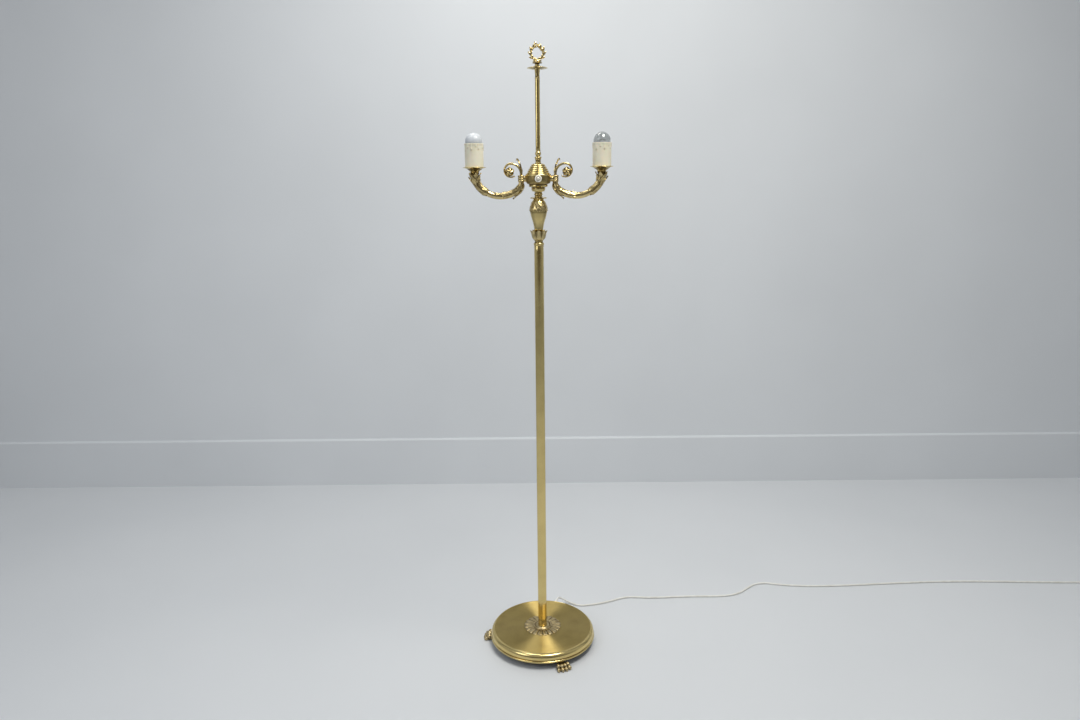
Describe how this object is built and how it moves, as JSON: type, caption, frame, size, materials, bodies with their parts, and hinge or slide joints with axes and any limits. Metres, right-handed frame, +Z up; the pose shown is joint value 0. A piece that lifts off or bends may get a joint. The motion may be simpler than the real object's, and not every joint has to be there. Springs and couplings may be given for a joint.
{
  "type": "floor lamp",
  "caption": "Candelabra floor lamp: round weighted base on paw feet, slim column with urn, curved arms with candle lights, central shade rod and wreath finial.",
  "frame": {"origin": "on the floor, on the column's axis, which is the middle of the base", "axes": "+Z up along the column; the arms lie along X; -Y is the front, where the switch is"},
  "size_m": [2.1445, 0.485, 1.664],
  "materials": {
    "polished_brass": "bright, lacquered",
    "brushed_brass": "lathe-brushed, lacquered",
    "turned_brass": "turned and polished, lacquered",
    "cast_brass": "cast, relief darkened in the hollows",
    "zinc_steel": "zinc plated",
    "black_steel": "black paint",
    "cast_iron": "raw casting",
    "ivory_plastic": "satin, with moulded wax drips",
    "white_plastic": "glossy",
    "black_plastic": "phenolic moulding",
    "opal_glass": "opal white",
    "clear_glass": "clear",
    "cap_metal": "threaded shell",
    "filament_wire": "fine wire",
    "lead_pvc": "insulated wire",
    "cord_pvc": "satin white",
    "tie_plastic": "satin",
    "pin_brass": "nickel-plated pins"
  },
  "bodies": {
    "lamp": {"base_cover": "brushed_brass", "base_weight": "cast_iron", "bottom_plate": "black_steel", "base_spacer": "zinc_steel", "base_washer": "zinc_steel", "base_nut": "zinc_steel", "foot_front": "cast_brass", "foot_rear": "cast_brass", "foot_left": "cast_brass", "foot_screws": "zinc_steel", "rosette": "cast_brass", "column_tube": "polished_brass", "lower_seating_ring": "turned_brass", "column_cap": "turned_brass", "tie_pipe": "zinc_steel", "leaf_cup": "cast_brass", "urn": "cast_brass", "neck_ring": "turned_brass", "body_bowl": "turned_brass", "body_dome": "turned_brass", "switch_body": "black_plastic", "switch_ring": "white_plastic", "terminal_block": "white_plastic", "arm_left": "cast_brass", "arm_right": "cast_brass", "arm_nipples": "zinc_steel", "arm_nuts": "zinc_steel", "pan_left": "turned_brass", "pan_right": "turned_brass", "holder_nipples": "zinc_steel", "holder_left": "black_plastic", "holder_right": "black_plastic", "sleeve_left": "ivory_plastic", "sleeve_right": "ivory_plastic", "rod_ferrule_lower": "turned_brass", "shade_rod": "polished_brass", "rod_ferrule_upper": "turned_brass", "shade_plate": "turned_brass", "finial_stud": "zinc_steel", "inner_lead": "lead_pvc", "branch_leads": "lead_pvc", "strain_relief": "cord_pvc", "cord": "cord_pvc", "cord_coil": "cord_pvc", "cord_tail": "cord_pvc", "coil_tie": "tie_plastic", "plug_body": "cord_pvc", "plug_pins": "pin_brass"},
    "switch_button": {"switch_button": "white_plastic"},
    "bulb_left": {"bulb_glass_left": "opal_glass", "bulb_cap_left": "cap_metal", "filament_left": "filament_wire"},
    "bulb_right": {"bulb_glass_right": "clear_glass", "bulb_cap_right": "cap_metal", "filament_right": "filament_wire"},
    "finial_collar": {"finial_collar": "turned_brass"},
    "finial": {"finial": "cast_brass"}
  },
  "joints": [
    {"name": "switch_push", "type": "slide", "parent": "lamp", "child": "switch_button", "axis": [0, 1, 0], "range_m": [0, 0.0025], "stiffness_N_per_m": 400, "springref_m": -0.001},
    {"name": "bulb_left_out", "type": "slide", "parent": "lamp", "child": "bulb_left", "axis": [0, 0, 1], "range_m": [0, 0.055]},
    {"name": "bulb_right_out", "type": "slide", "parent": "lamp", "child": "bulb_right", "axis": [0, 0, 1], "range_m": [0, 0.055]},
    {"name": "finial_lift", "type": "slide", "parent": "lamp", "child": "finial_collar", "axis": [0, 0, 1], "range_m": [0, 0.008]},
    {"name": "finial_turn", "type": "hinge", "parent": "finial_collar", "child": "finial", "pos_m": [0, 0, 1.6135], "axis": [0, 0, 1], "range_deg": [0, 2880]}
  ],
  "couplings": [
    {"joint": "finial_lift", "follows": "finial_turn", "m_per_rad": 0.00015915}
  ]
}
